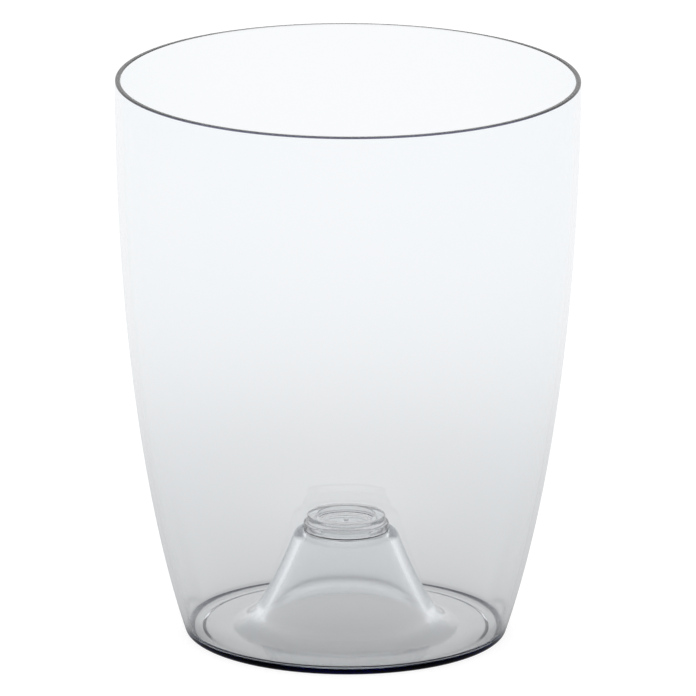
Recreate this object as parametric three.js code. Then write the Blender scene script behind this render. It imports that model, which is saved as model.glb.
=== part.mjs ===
// A clear plastic cover pot for an orchid, in two pieces. The pot is one moulding: a wall that curves
// in towards a smaller base, a floor on a low foot ring, and a hollow cone in the middle that holds
// the grow pot above the water. A plug closes the hole on top of the cone.
// Millimetres, +Z up, the pot stands on Z = 0 and its axis is the Z axis.

import * as THREE from 'three';

// The pot's outline
const rimDiameter = 130;
const baseDiameter = 90; // of the wall's curve where it reaches the ground
const potHeight = 160;
const wallTurn = THREE.MathUtils.degToRad(53.1); // the wall is this much of an ellipse, upright at the rim
const wall = 1.5; // of the wall, the floor and the cone's shoulder
const rimRound = 0.4;
const cornerRound = 1.6; // inside, where the wall meets the floor

// The foot ring under the floor
const footHeight = 0.6;
const footWidth = 3.4; // of the flat that touches the ground
const footSlope = 0.9; // width of the ring's sloping inner side
const footRound = 1.5; // outer edge

// The cone
const coneHeight = 29.6; // from the ground to the shoulder
const shoulderBorder = 0.5; // of the flat shoulder outside the plug's flange
const shoulderRound = 2.5;
const flankSlope = THREE.MathUtils.degToRad(20); // off upright, at the top of the flank
const flankBend = 120; // radius of the flank's long curve
const flankFoot = 8; // radius of the fillet that ends the flank on the floor
const coneWall = 2.6; // at the top of the flank, and more further down
const coneSpread = 22.4; // how much flatter the hollow's curve is than one with the flank's centre
const coreRound = 1; // inside the hollow, under the shoulder
const mouthRound = 11; // where the hollow opens under the floor

// The hole on the cone and the plug in it
const holeDiameter = 17.8;
const plugClearance = 0.3; // all round the spigot
const plugWall = 1.5; // of the spigot and the web that closes it
const flangeLap = 3.1; // how far the flange reaches past the hole
const flangeHeight = 2.2;
const ringStep = 1; // from the flange's edge to the ring's
const ringHeight = 2.2;
const recessDiameter = 16.2;
const recessDepth = 1.9;
const recessDraft = 0.3; // how much smaller the recess is at its floor, each side
const recessRound = 0.7;
const plugRound = 0.3; // outer edges
const nubDiameter = 1.4; // left by the moulding gate
const nubHeight = 0.5;

// Facets
const potSides = 64;
const plugSides = 40;
const curveSteps = 11;
const flankSteps = 5;
const roundSteps = 3;

const floorTop = footHeight + wall;
const flangeRadius = holeDiameter / 2 + flangeLap;
const shoulderRadius = flangeRadius + shoulderBorder;
const up = Math.PI / 2;
const down = -Math.PI / 2;

// Outlines are lists of Vector2: x is the distance from the axis and y the height.

// The wall's outer face from the rim down, upright at the rim.
function wallCurve() {
  const across = (rimDiameter - baseDiameter) / 2 / (1 - Math.cos(wallTurn));
  const rise = potHeight / Math.sin(wallTurn);
  return new THREE.EllipseCurve(rimDiameter / 2 - across, potHeight, across, rise, 0, -wallTurn, true);
}

// The point at share of the curve, moved depth into the plastic, square to the face.
function under(curve, share, depth) {
  const along = curve.getTangent(share);
  return curve.getPoint(share).add(new THREE.Vector2(along.y, -along.x).multiplyScalar(depth));
}

// The share of the curve at which the point depth under it is at the given height.
function shareAt(curve, depth, height) {
  let above = 0;
  let below = 1;
  for (let i = 0; i < 40; i += 1) {
    const middle = (above + below) / 2;
    if (under(curve, middle, depth).y > height) above = middle;
    else below = middle;
  }
  return (above + below) / 2;
}

// Points depth under the curve, from one share of it to another.
function stretch(curve, depth, from, to) {
  return Array.from({ length: curveSteps + 1 }, (_, i) => {
    return under(curve, from + (to - from) * (i / curveSteps), depth);
  });
}

// The angle at which the curve's face looks out.
function facing(curve, share) {
  const along = curve.getTangent(share);
  return Math.atan2(along.x, -along.y);
}

function arc(center, radius, from, to, steps = roundSteps) {
  return new THREE.EllipseCurve(center.x, center.y, radius, radius, from, to, to < from).getPoints(steps);
}

function toward(angle, length) {
  return new THREE.Vector2(Math.cos(angle), Math.sin(angle)).multiplyScalar(length);
}

// The round that joins a long curve to a level line under it: it touches both from the curve's inside.
// turn is the angle, counted about the long curve's centre, at which it takes over.
function landing(center, bend, round, level) {
  const turn = Math.PI + Math.asin((center.y - level - round) / (bend - round));
  return { turn, center: toward(turn, bend - round).add(center) };
}

// The outline through corners of [radius, height, round], each rounded by an arc that touches its sides.
function softened(corners) {
  const points = corners.map(([x, y]) => new THREE.Vector2(x, y));
  return points.flatMap((corner, i) => {
    const round = corners[i][2];
    if (!round) return [corner];
    const back = points[i - 1].clone().sub(corner).normalize();
    const ahead = points[i + 1].clone().sub(corner).normalize();
    const half = Math.acos(back.dot(ahead)) / 2;
    const center = back.clone().add(ahead).setLength(round / Math.sin(half)).add(corner);
    const start = back.multiplyScalar(round / Math.tan(half)).add(corner).sub(center).angle();
    const end = ahead.multiplyScalar(round / Math.tan(half)).add(corner).sub(center).angle();
    const sweep = THREE.MathUtils.euclideanModulo(end - start + Math.PI, 2 * Math.PI) - Math.PI;
    return arc(center, round, start, start + sweep);
  });
}

// A solid of revolution about Z from an outline that runs anticlockwise round the plastic.
function revolve(name, outline, sides, material) {
  const geometry = new THREE.LatheGeometry(outline, sides);
  geometry.rotateX(Math.PI / 2);
  const mesh = new THREE.Mesh(geometry, material);
  mesh.name = name;
  return mesh;
}

// The cone: over its outer face from the floor to the hole, then back down the hollow under it. The
// flank and the hollow both sweep outwards on long curves, between which the plastic thickens on the
// way down, and both end in a round that brings it back to the floor's thickness.
function coneFaces() {
  const holeRadius = holeDiameter / 2;
  const shoulder = new THREE.Vector2(shoulderRadius, coneHeight - shoulderRound);
  const flank = toward(flankSlope, shoulderRound + flankBend).add(shoulder);
  const foot = landing(flank, flankBend, flankFoot, floorTop);

  const hollowBend = flankBend + coneWall + coneSpread;
  const hollow = toward(flankSlope, coneSpread).add(flank);
  const mouth = landing(hollow, hollowBend, mouthRound, footHeight);
  const hollowTop = toward(flankSlope + Math.PI, hollowBend).add(hollow);
  const ceiling = coneHeight - wall;
  const corner = hollowTop.x - (ceiling - hollowTop.y) * Math.tan(flankSlope);

  return [
    ...arc(foot.center, flankFoot, up + Math.PI, foot.turn),
    ...arc(flank, flankBend, foot.turn, flankSlope + Math.PI, flankSteps).slice(1),
    ...arc(shoulder, shoulderRound, flankSlope, up).slice(1),
    new THREE.Vector2(holeRadius, coneHeight),
    ...softened([
      [holeRadius, ceiling, 0],
      [corner, ceiling, coreRound],
      [hollowTop.x, hollowTop.y, 0],
    ]),
    ...arc(hollow, hollowBend, flankSlope + Math.PI, mouth.turn, flankSteps).slice(1),
    ...arc(mouth.center, mouthRound, mouth.turn, up + Math.PI).slice(1),
  ];
}

function potShell() {
  const face = wallCurve();

  // Where each round's centre lies, as a share of the face that it eases
  const foot = shareAt(face, footRound, footRound);
  const rimOut = shareAt(face, rimRound, potHeight - rimRound);
  const rimIn = shareAt(face, wall - rimRound, potHeight - rimRound);
  const corner = shareAt(face, wall + cornerRound, floorTop + cornerRound);

  const footOuter = under(face, foot, footRound).x;
  const footInner = footOuter - footWidth;
  const outline = [
    new THREE.Vector2(footInner, 0),
    ...arc(under(face, foot, footRound), footRound, down, facing(face, foot)),
    ...stretch(face, 0, foot, rimOut).slice(1),
    ...arc(under(face, rimOut, rimRound), rimRound, facing(face, rimOut), up).slice(1),
    ...arc(under(face, rimIn, wall - rimRound), rimRound, up, Math.PI),
    ...stretch(face, wall, rimIn, corner).slice(1),
    ...arc(under(face, corner, wall + cornerRound), cornerRound, facing(face, corner), down).slice(1),
    ...coneFaces(),
    new THREE.Vector2(footInner - footSlope, footHeight),
    new THREE.Vector2(footInner, 0),
  ];
  const clear = new THREE.MeshStandardMaterial({
    color: 0xdfe6ea,
    roughness: 0.05,
    metalness: 0,
    transparent: true,
    opacity: 0.3,
  });
  return revolve('pot_shell', outline, potSides, clear);
}

// Heights in the plug are counted from the flange's underside, which rests on the shoulder.
function conePlug() {
  const spigotRadius = holeDiameter / 2 - plugClearance;
  const ringRadius = flangeRadius - ringStep;
  const recessRadius = recessDiameter / 2;
  const top = flangeHeight + ringHeight;
  const recessFloor = top - recessDepth;
  const nubRadius = nubDiameter / 2;
  const outline = softened([
    [0, recessFloor - plugWall, 0],
    [spigotRadius - plugWall, recessFloor - plugWall, plugRound],
    [spigotRadius - plugWall, -wall, 0],
    [spigotRadius, -wall, plugRound],
    [spigotRadius, 0, 0],
    [flangeRadius, 0, plugRound],
    [flangeRadius, flangeHeight, plugRound],
    [ringRadius, flangeHeight, plugRound],
    [ringRadius, top, plugRound],
    [recessRadius, top, plugRound],
    [recessRadius - recessDraft, recessFloor, recessRound],
    [nubRadius, recessFloor, 0],
    [nubRadius, recessFloor + nubHeight, nubHeight / 2],
    [0, recessFloor + nubHeight, 0],
  ]);
  const clear = new THREE.MeshStandardMaterial({
    color: 0xd3dce1,
    roughness: 0.05,
    metalness: 0,
    transparent: true,
    opacity: 0.35,
  });
  const plug = revolve('cone_plug', outline, plugSides, clear);
  plug.position.z = coneHeight;
  return plug;
}

const pot = new THREE.Group();
pot.add(potShell(), conePlug());

export default pot;
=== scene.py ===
"""A clear plastic cover pot for an orchid, with the plug that closes the cone in its floor."""

import bpy
import numpy as np
from mathutils import Euler, Matrix


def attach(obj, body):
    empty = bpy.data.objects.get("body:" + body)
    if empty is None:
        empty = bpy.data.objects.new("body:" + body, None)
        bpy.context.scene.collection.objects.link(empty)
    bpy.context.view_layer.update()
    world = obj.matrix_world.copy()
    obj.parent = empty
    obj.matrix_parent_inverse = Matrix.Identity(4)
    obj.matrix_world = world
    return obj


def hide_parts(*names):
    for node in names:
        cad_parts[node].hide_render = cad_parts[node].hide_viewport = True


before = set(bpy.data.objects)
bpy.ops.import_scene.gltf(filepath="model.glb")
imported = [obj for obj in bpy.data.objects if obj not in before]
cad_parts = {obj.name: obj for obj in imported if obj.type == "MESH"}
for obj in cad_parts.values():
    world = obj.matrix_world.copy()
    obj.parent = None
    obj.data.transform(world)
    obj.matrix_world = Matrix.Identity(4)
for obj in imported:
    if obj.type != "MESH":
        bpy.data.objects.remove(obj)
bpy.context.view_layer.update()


# Pot shell: one injection moulding in clear plastic, with a polished wall and a floor on a low foot
# ring. The hollow cone in the middle is thicker, and it and the floor round it are a little less clear.
# The cone's flat shoulder has a round hole for the plug. Lengths are in millimetres.

rim_radius = 65
base_radius = 45
pot_height = 160
wall_turn = 53.1
wall = 1.5
rim_round = 0.4
corner_round = 1.6
foot_height = 0.6
foot_width = 3.4
foot_slope = 0.9
foot_round = 1.5
cone_height = 29.6
shoulder_radius = 12.5
shoulder_round = 2.5
flank_slope = 20.0
flank_bend = 120.0
flank_foot_round = 8.0
core_wall = 2.6
core_bend = 145.0
core_round = 1.0
mouth_round = 11.0
hole_radius = 8.9
hole_edge_round = 0.15
step_round = 0.5  # where the floor's underside meets the foot ring
ring_edge_round = 0.2
pot_sides = 288
floor_top = foot_height + wall


def curve(centre, across, up, start, end, steps, out=0.0):
    """Part of an ellipse from angle start to angle end: centre + (across cos t, up sin t), moved out
    along the way that its face looks. Gives the points and those ways; the plastic is on the left."""
    t = np.radians(np.linspace(start, end, steps + 1))
    ways = np.sign(end - start) * np.stack([up * np.cos(t), across * np.sin(t)], axis=1)
    ways /= np.linalg.norm(ways, axis=1, keepdims=True)
    points = np.asarray(centre) + np.stack([across * np.cos(t), up * np.sin(t)], axis=1)
    return points + out * ways, ways


def eased(before, corner, after, radius, steps=6):
    """The arc that touches both straight sides of a corner, run from the one to the other."""
    before, corner, after = map(np.asarray, (before, corner, after))
    back = (before - corner) / np.linalg.norm(before - corner)
    ahead = (after - corner) / np.linalg.norm(after - corner)
    half = np.arccos(back @ ahead) / 2
    centre = corner + (back + ahead) / np.linalg.norm(back + ahead) * radius / np.sin(half)
    first, last = (corner + side * radius / np.tan(half) - centre for side in (back, ahead))
    start, end = (np.degrees(np.arctan2(p[1], p[0])) for p in (first, last))
    sweep = (end - start + 180) % 360 - 180
    return curve(centre, radius, radius, start, start + sweep, steps)


def revolve(name, parts, sides):
    """A closed surface of revolution about Z: each point (r, z) of the outline becomes the ring
    (r cos a, r sin a, z), and its way (u, w) the normals (u cos a, u sin a, w). A point on the
    axis is one vertex. An outline that stays off the axis joins its own start."""
    points, ways = (np.concatenate(columns) for columns in zip(*parts))
    fresh = np.ones(len(points), bool)
    fresh[1:] = np.linalg.norm(np.diff(points, axis=0), axis=1) > 1e-6
    points, ways = points[fresh] / 1000, ways[fresh]
    if np.linalg.norm(points[0] - points[-1]) < 1e-9:
        points, ways = points[:-1], ways[:-1]
    a = np.linspace(0, 2 * np.pi, sides, endpoint=False)
    spin = np.stack([np.cos(a), np.sin(a)], axis=1)
    on_axis = points[:, 0] < 1e-9
    count = np.where(on_axis, 1, sides)
    first = np.concatenate([[0], np.cumsum(count)[:-1]])
    rows = first[:, None] + np.where(on_axis[:, None], 0, np.arange(sides))
    tall = np.ones((1, sides, 1))
    grid = np.concatenate([points[:, :1, None] * spin, points[:, 1:, None] * tall], axis=2)
    turned = np.concatenate([ways[:, :1, None] * spin, ways[:, 1:, None] * tall], axis=2)
    keep = np.arange(sides) < count[:, None]
    below = rows if not on_axis.any() else rows[:-1]
    above = np.roll(rows, -1, axis=0)[: len(below)]
    quads = np.stack([below, np.roll(below, -1, 1), np.roll(above, -1, 1), above], axis=2).reshape(-1, 4)
    low_pole = quads[:, 0] == quads[:, 1]
    high_pole = quads[:, 2] == quads[:, 3]
    faces = quads[~(low_pole | high_pole)].tolist()
    faces += quads[low_pole][:, [0, 2, 3]].tolist() + quads[high_pole][:, [0, 1, 2]].tolist()
    mesh = bpy.data.meshes.new(name)
    mesh.from_pydata(grid[keep].tolist(), [], faces)
    mesh.shade_smooth()
    mesh.normals_split_custom_set_from_vertices(turned[keep].tolist())
    piece = bpy.data.objects.new(name, mesh)
    bpy.context.scene.collection.objects.link(piece)
    return piece


def at_height(start, end, across, up, centre, out, height):
    """The angle at which an ellipse, moved out square to its face, passes a height."""
    t = np.linspace(start, end, 4001)
    points, _ = curve(centre, across, up, start, end, 4000, out)
    rising = np.argsort(points[:, 1])
    return np.interp(height, points[rising, 1], t[rising])


def looks(across, up, t):
    """The angle that the outside of an ellipse looks along, at its angle t."""
    return np.degrees(np.arctan2(across * np.sin(np.radians(t)), up * np.cos(np.radians(t))))


def shell_outline():
    """The section of the pot, anticlockwise: over the wall and the rim, down inside, across the floor,
    over the cone into its hole, and back under the cone to the foot ring."""
    across = (rim_radius - base_radius) / (1 - np.cos(np.radians(wall_turn)))
    up = pot_height / np.sin(np.radians(wall_turn))
    middle = (rim_radius - across, pot_height)

    def face(depth, height):
        """The face's angle whose point depth under it has that height, that point, and its look."""
        t = at_height(-wall_turn, 0.0, across, up, middle, -depth, height)
        point, _ = curve(middle, across, up, t, t + 1e-6, 1, -depth)
        return t, point[0], looks(across, up, t)

    foot, foot_centre, foot_look = face(foot_round, foot_round)
    out, out_centre, out_look = face(rim_round, pot_height - rim_round)
    inner, inner_centre, inner_look = face(wall - rim_round, pot_height - rim_round)
    corner, corner_centre, corner_look = face(wall + corner_round, floor_top + corner_round)
    foot_inner = foot_centre[0] - foot_width

    slope = np.radians(flank_slope)
    tilt = np.array([np.cos(slope), np.sin(slope)])
    shoulder = np.array([shoulder_radius, cone_height - shoulder_round])
    neck = shoulder + shoulder_round * tilt
    flank_middle = neck + flank_bend * tilt
    low = flank_middle[1] - floor_top
    foot_angle = 180 + np.degrees(np.arcsin((low - flank_foot_round) / (flank_bend - flank_foot_round)))
    foot_way = np.array([np.cos(np.radians(foot_angle)), np.sin(np.radians(foot_angle))])
    fillet = flank_middle + (flank_bend - flank_foot_round) * foot_way
    under = cone_height - wall
    core_top = neck - core_wall * tilt
    above = core_top + np.array([-tilt[1], tilt[0]]) * (under - core_top[1]) / tilt[0]
    core_middle = core_top + core_bend * tilt
    high = core_middle[1] - foot_height
    mouth_angle = 180 + np.degrees(np.arcsin((high - mouth_round) / (core_bend - mouth_round)))
    mouth_way = np.array([np.cos(np.radians(mouth_angle)), np.sin(np.radians(mouth_angle))])
    mouth = core_middle + (core_bend - mouth_round) * mouth_way
    hole = [(shoulder_radius, cone_height), (hole_radius, cone_height), (hole_radius, under), above]
    floor_end = (foot_inner - foot_slope, foot_height)
    ring = [(mouth[0], foot_height), floor_end, (foot_inner, 0), (base_radius, 0)]
    return [
        curve(foot_centre, foot_round, foot_round, -90, foot_look, steps=10),
        curve(middle, across, up, foot, out, steps=60),
        curve(out_centre, rim_round, rim_round, out_look, 90, steps=8),
        curve(inner_centre, rim_round, rim_round, 90, 180 + inner_look, steps=8),
        curve(middle, across, up, inner, corner, steps=60, out=wall),
        curve(corner_centre, corner_round, corner_round, corner_look, -90, steps=10),
        curve(fillet, flank_foot_round, flank_foot_round, 270, foot_angle, steps=8),
        curve(flank_middle, flank_bend, flank_bend, foot_angle, 180 + flank_slope, steps=32),
        curve(shoulder, shoulder_round, shoulder_round, flank_slope, 90, steps=12),
        eased(hole[0], hole[1], hole[2], hole_edge_round),
        eased(hole[1], hole[2], hole[3], hole_edge_round),
        eased(hole[2], above, core_top, core_round, steps=8),
        curve(core_middle, core_bend, core_bend, 180 + flank_slope, mouth_angle, steps=32),
        curve(mouth, mouth_round, mouth_round, mouth_angle, 270, steps=10),
        eased(ring[0], ring[1], ring[2], step_round),
        eased(ring[1], ring[2], ring[3], ring_edge_round),
    ]


class Wire:
    """An output of a node. Arithmetic on it adds Math nodes, with a number on either side."""

    def __init__(self, tree, socket=None):
        self.tree = tree
        self.socket = socket

    def add(self, kind, settings=None, inputs=None, output=0):
        """A node of this kind in the same tree: its settings first, then its inputs, each a value or
        a Wire. Gives the Wire of one of its outputs."""
        node = self.tree.nodes.new(kind)
        for name, value in (settings or {}).items():
            setattr(node, name, value)
        for name, value in (inputs or {}).items():
            if isinstance(value, Wire):
                self.tree.links.new(value.socket, node.inputs[name])
            else:
                node.inputs[name].default_value = value
        return Wire(self.tree, node.outputs[output] if len(node.outputs) else None)

    def math(self, operation, first, second):
        return self.add("ShaderNodeMath", {"operation": operation}, {0: first, 1: second})

    def clamped(self):
        """The same value, held between 0 and 1."""
        return self.math("MINIMUM", self.math("MAXIMUM", self, 0.0), 1.0)

    def __add__(self, other):
        return self.math("ADD", self, other)

    def __sub__(self, other):
        return self.math("SUBTRACT", self, other)

    def __rsub__(self, other):
        return self.math("SUBTRACT", other, self)

    def __mul__(self, other):
        return self.math("MULTIPLY", self, other)

    def __truediv__(self, other):
        return self.math("DIVIDE", self, other)

    def __rtruediv__(self, other):
        return self.math("DIVIDE", other, self)

    def __pow__(self, other):
        return self.math("POWER", self, other)

    __radd__ = __add__
    __rmul__ = __mul__


def clear_plastic(name, tint, body, marks, shaded_edges, matt=0.0, matt_radius=0.0):
    """Clear plastic: a smooth refracting skin over a body of that colour, which darkens with the
    length of the light's way through it. The skin's tint varies between two colours. marks is how deep
    the moulded face's faint waviness is, in mm.
    Each edge takes a dark colour, its painted shade, between the heights low and high - lean * back,
    further out than beyond + lean * back, where back is how far the place lies behind the axis, all in
    mm. That painted shade stands in for the dark line that an edge shows where it passes no light on.
    The roughness rises by matt within matt_radius of the axis, over a border of 8 mm."""
    flow_scale, peel_scale, hands_scale = 55.0, 420.0, 28.0
    material = bpy.data.materials.new(name)
    material.use_nodes = True
    tree = material.node_tree
    tree.nodes.clear()
    wire = Wire(tree)
    place = wire.add("ShaderNodeTexCoord", output="Object")
    drawn = wire.add("ShaderNodeMapping", inputs={"Vector": place, "Scale": (1.0, 1.0, 0.12)})
    flow = wire.add("ShaderNodeTexNoise", inputs={"Vector": drawn, "Scale": flow_scale, "Detail": 2.0})
    peel = wire.add("ShaderNodeTexNoise", inputs={"Vector": place, "Scale": peel_scale, "Detail": 1.0})
    hands = wire.add("ShaderNodeTexNoise", inputs={"Vector": place, "Scale": hands_scale, "Detail": 4.0})
    bump = wire.add(
        "ShaderNodeBump",
        inputs={"Height": flow * 0.85 + peel * 0.15, "Strength": 1.0, "Distance": marks / 1000},
    )
    colour = wire.add(
        "ShaderNodeMix",
        {"data_type": "RGBA"},
        {"Factor": hands, "A": (*tint[0], 1.0), "B": (*tint[1], 1.0)},
        output=2,
    )
    height = wire.add("ShaderNodeSeparateXYZ", inputs={0: place}, output="Z") * 1000
    back = wire.add("ShaderNodeSeparateXYZ", inputs={0: place}, output="Y") * 1000
    back = wire.math("MAXIMUM", back, 0)
    level = wire.add("ShaderNodeVectorMath", {"operation": "MULTIPLY"}, {0: place, 1: (1000, 1000, 0)})
    radius = wire.add("ShaderNodeVectorMath", {"operation": "LENGTH"}, {0: level}, output="Value")
    # Painted shade: each edge's dark colour is laid over the skin's tint within its band.
    for edge in shaded_edges:
        inside = wire.math("LESS_THAN", height + back * edge["lean"], edge["high"])
        inside = inside * wire.math("GREATER_THAN", height, edge["low"])
        inside = inside * wire.math("GREATER_THAN", radius - back * edge["lean"], edge["beyond"])
        colour = wire.add(
            "ShaderNodeMix",
            {"data_type": "RGBA"},
            {"Factor": inside, "A": colour, "B": (*edge["painted_shade"], 1.0)},
            output=2,
        )
    inner = ((matt_radius - radius) / 8).clamped()
    skin = wire.add(
        "ShaderNodeBsdfPrincipled",
        inputs={
            "Base Color": colour,
            "Roughness": hands * 0.03 + inner * matt,
            "IOR": 1.5,
            "Transmission Weight": 1.0,
            "Normal": bump,
        },
    )
    depth = wire.add("ShaderNodeVolumeAbsorption", inputs={"Color": (*body, 1.0), "Density": 26.0})
    wire.add("ShaderNodeOutputMaterial", inputs={"Surface": skin, "Volume": depth})
    return material


pot_shell = revolve("pot_shell_clear", shell_outline(), pot_sides)
shell_tint = ((0.988, 0.995, 1.0), (1.0, 1.0, 1.0))
# Painted shade: a near-black band round the foot's outer edge, for the dark crescent that it shows where
# it passes no light on.
foot_painted_shade = {
    "low": -1.0,
    "high": 2.05,
    "lean": 0.03,
    "beyond": base_radius - 2.1,
    "painted_shade": (0.0, 0.0, 0.002),
}
# Painted shade: a thin dark line round the top of the rim.
rim_painted_shade = {
    "low": pot_height - 0.45,
    "high": pot_height + 0.1,
    "lean": 0.004,
    "beyond": rim_radius - 0.6,
    "painted_shade": (0.02, 0.02, 0.045),
}
shell_look = clear_plastic(
    "clear wall",
    shell_tint,
    body=(0.5, 0.56, 0.63),
    marks=0.004,
    shaded_edges=[foot_painted_shade, rim_painted_shade],
    matt=0.07,
    matt_radius=42.0,
)
pot_shell.data.materials.append(shell_look)
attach(pot_shell, "pot")
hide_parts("pot_shell")


# Cone plug: a push-in plug of clear plastic, moulded by itself and drawn greyer than the pot. Its hollow
# spigot stands in the hole, its flange lies on the shoulder, and the thick ring on top has a sunk floor
# with the nub that the moulding gate left.

spigot_radius = hole_radius - 0.3
plug_wall = 1.5
flange_radius = 12.0
flange_height = 2.2
ring_radius = 11.0
ring_top = 4.4
recess_radius = 8.1
recess_floor = 2.5
recess_draft = 0.3
nub_radius = 0.7
nub_height = 0.5
air_film = 0.02  # between the flange and the shoulder that it lies on
plug_sides = 192


def plug_outline():
    """The section of the plug as a list of corners (r, z, round), each eased by its round."""
    web = recess_floor - plug_wall
    corners = np.array(
        [
            (spigot_radius - plug_wall, web, 0.3),
            (spigot_radius - plug_wall, -wall, 0.1),
            (spigot_radius, -wall, 0.3),
            (spigot_radius, air_film, 0.1),
            (flange_radius, air_film, 0.3),
            (flange_radius, flange_height, 0.3),
            (ring_radius, flange_height, 0.3),
            (ring_radius, ring_top, 0.3),
            (recess_radius, ring_top, 0.3),
            (recess_radius - recess_draft, recess_floor, 0.7),
            (nub_radius, recess_floor, 0.1),
            (nub_radius, recess_floor + nub_height, 0.25),
        ]
    )
    corners[:, 1] += cone_height
    ends = np.array([(0, corners[0, 1]), (0, corners[-1, 1])])
    line = np.concatenate([ends[:1], corners[:, :2], ends[1:]])
    rounds = [eased(*line[i : i + 3], corners[i, 2]) for i in range(len(corners))]
    start = (ends[:1], np.array([(0.0, -1.0)]))
    end = (ends[1:], np.array([(0.0, 1.0)]))
    return [start, *rounds, end]


cone_plug = revolve("cone_plug_clear", plug_outline(), plug_sides)
plug_tint = ((0.955, 0.96, 0.965), (0.975, 0.975, 0.98))
# Painted shade: a black line round the flange's lower edge.
flange_painted_shade = {
    "low": cone_height - 0.5,
    "high": cone_height + 0.45,
    "lean": 0.0,
    "beyond": flange_radius - 0.5,
    "painted_shade": (0.0, 0.0, 0.0),
}
plug_look = clear_plastic(
    "clear plug",
    plug_tint,
    body=(0.2, 0.22, 0.24),
    marks=0.003,
    shaded_edges=[flange_painted_shade],
)
cone_plug.data.materials.append(plug_look)
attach(cone_plug, "plug")
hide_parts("cone_plug")


# The stage: a white floor that keeps a faint shadow. Light that has met the plastic finds painted shade
# there instead: a soft pool of faintly blue grey, deepest under the pot, a dark arc of painted shadow in
# front of the foot, and a pale spot of painted light behind the pot. All stand in for surroundings that
# are not known, and were set until the tones came near the photograph's.

table_reach = 4.0
table_height = -0.00005
table_glow = 0.86
table_paint = 0.22

floor_mesh = bpy.data.meshes.new("floor")
square = ((-1, -1), (1, -1), (1, 1), (-1, 1))
corners = [(x * table_reach, y * table_reach, table_height) for x, y in square]
floor_mesh.from_pydata(corners, [], [(0, 1, 2, 3)])
floor = bpy.data.objects.new("floor", floor_mesh)
bpy.context.scene.collection.objects.link(floor)

table = bpy.data.materials.new("white table")
table.use_nodes = True
table.node_tree.nodes.clear()
wire = Wire(table.node_tree)
spot = wire.add("ShaderNodeTexCoord", output="Object")


def away_from(x, y):
    """How far a place on the table is from the point (x, y), in metres."""
    point = {0: spot, 1: (x, y, 0)}
    return wire.add("ShaderNodeVectorMath", {"operation": "DISTANCE"}, point, output="Value")


def soft(strength, away, reach, steepness):
    """A spot or ring with a soft edge: strength / (1 + (away / reach) ** steepness)."""
    return strength / (1 + (away / reach) ** steepness)


middle = away_from(0, 0)
# Painted shade on the table, seen only by way of the plastic: a broad grey pool, a deeper one centred
# just in front of the pot, a soft disc under the pot and a ring under its foot.
wide_painted_shade = soft(0.28, middle, 0.23, 4)
deep = soft(0.27, away_from(0, -0.03), 0.065, 2)
painted_shade_under_pot = soft(0.06, middle, 0.048, 8)
painted_shade_under_ring = soft(0.09, middle - 0.042, 0.009, 4)
# Painted light: a pale spot on the table behind the pot, as if its curved rear wall gathered light
# there.
painted_caustic_light = soft(0.06, away_from(0, 0.13), 0.035, 2)
# Painted shadow: a dark arc on the table just in front of the pot's foot.
ahead = (0.001 - wire.add("ShaderNodeSeparateXYZ", inputs={0: spot}, output="Y")) / 0.02
line = ahead.clamped() * soft(0.97, away_from(0, 0.0015) - 0.0497, 0.0038, 4)
# The painted shade and painted light together, as rays that have met the plastic see the table.
painted_light_and_shade = (1 - wide_painted_shade - deep - painted_shade_under_pot - painted_shade_under_ring + painted_caustic_light) * (1 - line)
direct = wire.add("ShaderNodeLightPath", output="Is Camera Ray")
cool = wire.add(
    "ShaderNodeMix",
    {"data_type": "RGBA"},
    {"Factor": direct, "A": (0.978, 0.99, 1.0, 1.0), "B": (1.0, 1.0, 1.0, 1.0)},
    output=2,
)
seen = table_glow * direct + (1 - direct) * painted_light_and_shade
glow = wire.add("ShaderNodeEmission", inputs={"Color": cool, "Strength": seen})
grey = (table_paint, table_paint, table_paint, 1.0)
paint = wire.add("ShaderNodeBsdfDiffuse", inputs={"Color": grey})
black = wire.add("ShaderNodeBsdfDiffuse", inputs={"Color": (0.0, 0.0, 0.0, 1.0)})
lit = wire.add("ShaderNodeMixShader", inputs={0: direct, 1: black, 2: paint})
both = wire.add("ShaderNodeAddShader", inputs={0: glow, 1: lit})
wire.add("ShaderNodeOutputMaterial", inputs={"Surface": both})
floor_mesh.materials.append(table)


# Light: an even white room.

world = bpy.data.worlds.new("white studio")
bpy.context.scene.world = world
world.use_nodes = True
world.node_tree.nodes.clear()
wire = Wire(world.node_tree)
room = wire.add("ShaderNodeBackground", inputs={"Color": (1.0, 1.0, 1.0, 1.0), "Strength": 1.0})
wire.add("ShaderNodeOutputWorld", inputs={"Surface": room})


# The camera stands where the photograph was taken from: well back, and a little above the rim.

aim = np.array([0.0003, 0.0, 0.0822])
distance = 3.3
elevation = np.radians(15.56)
roll = np.radians(0.25)
lens = bpy.data.cameras.new("camera")
lens.lens = 608.5
lens.sensor_width = 36
lens.clip_end = 50
camera = bpy.data.objects.new("camera", lens)
bpy.context.scene.collection.objects.link(camera)
camera.location = aim + distance * np.array([0.0, -np.cos(elevation), np.sin(elevation)])
upright = Euler((np.pi / 2 - elevation, 0, 0)).to_matrix()
camera.rotation_euler = (upright @ Matrix.Rotation(roll, 3, "Z")).to_euler()
bpy.context.scene.camera = camera

bpy.context.scene.view_settings.view_transform = "Standard"
cycles = bpy.context.scene.cycles
cycles.max_bounces = 32
cycles.glossy_bounces = 32
cycles.transmission_bounces = 32
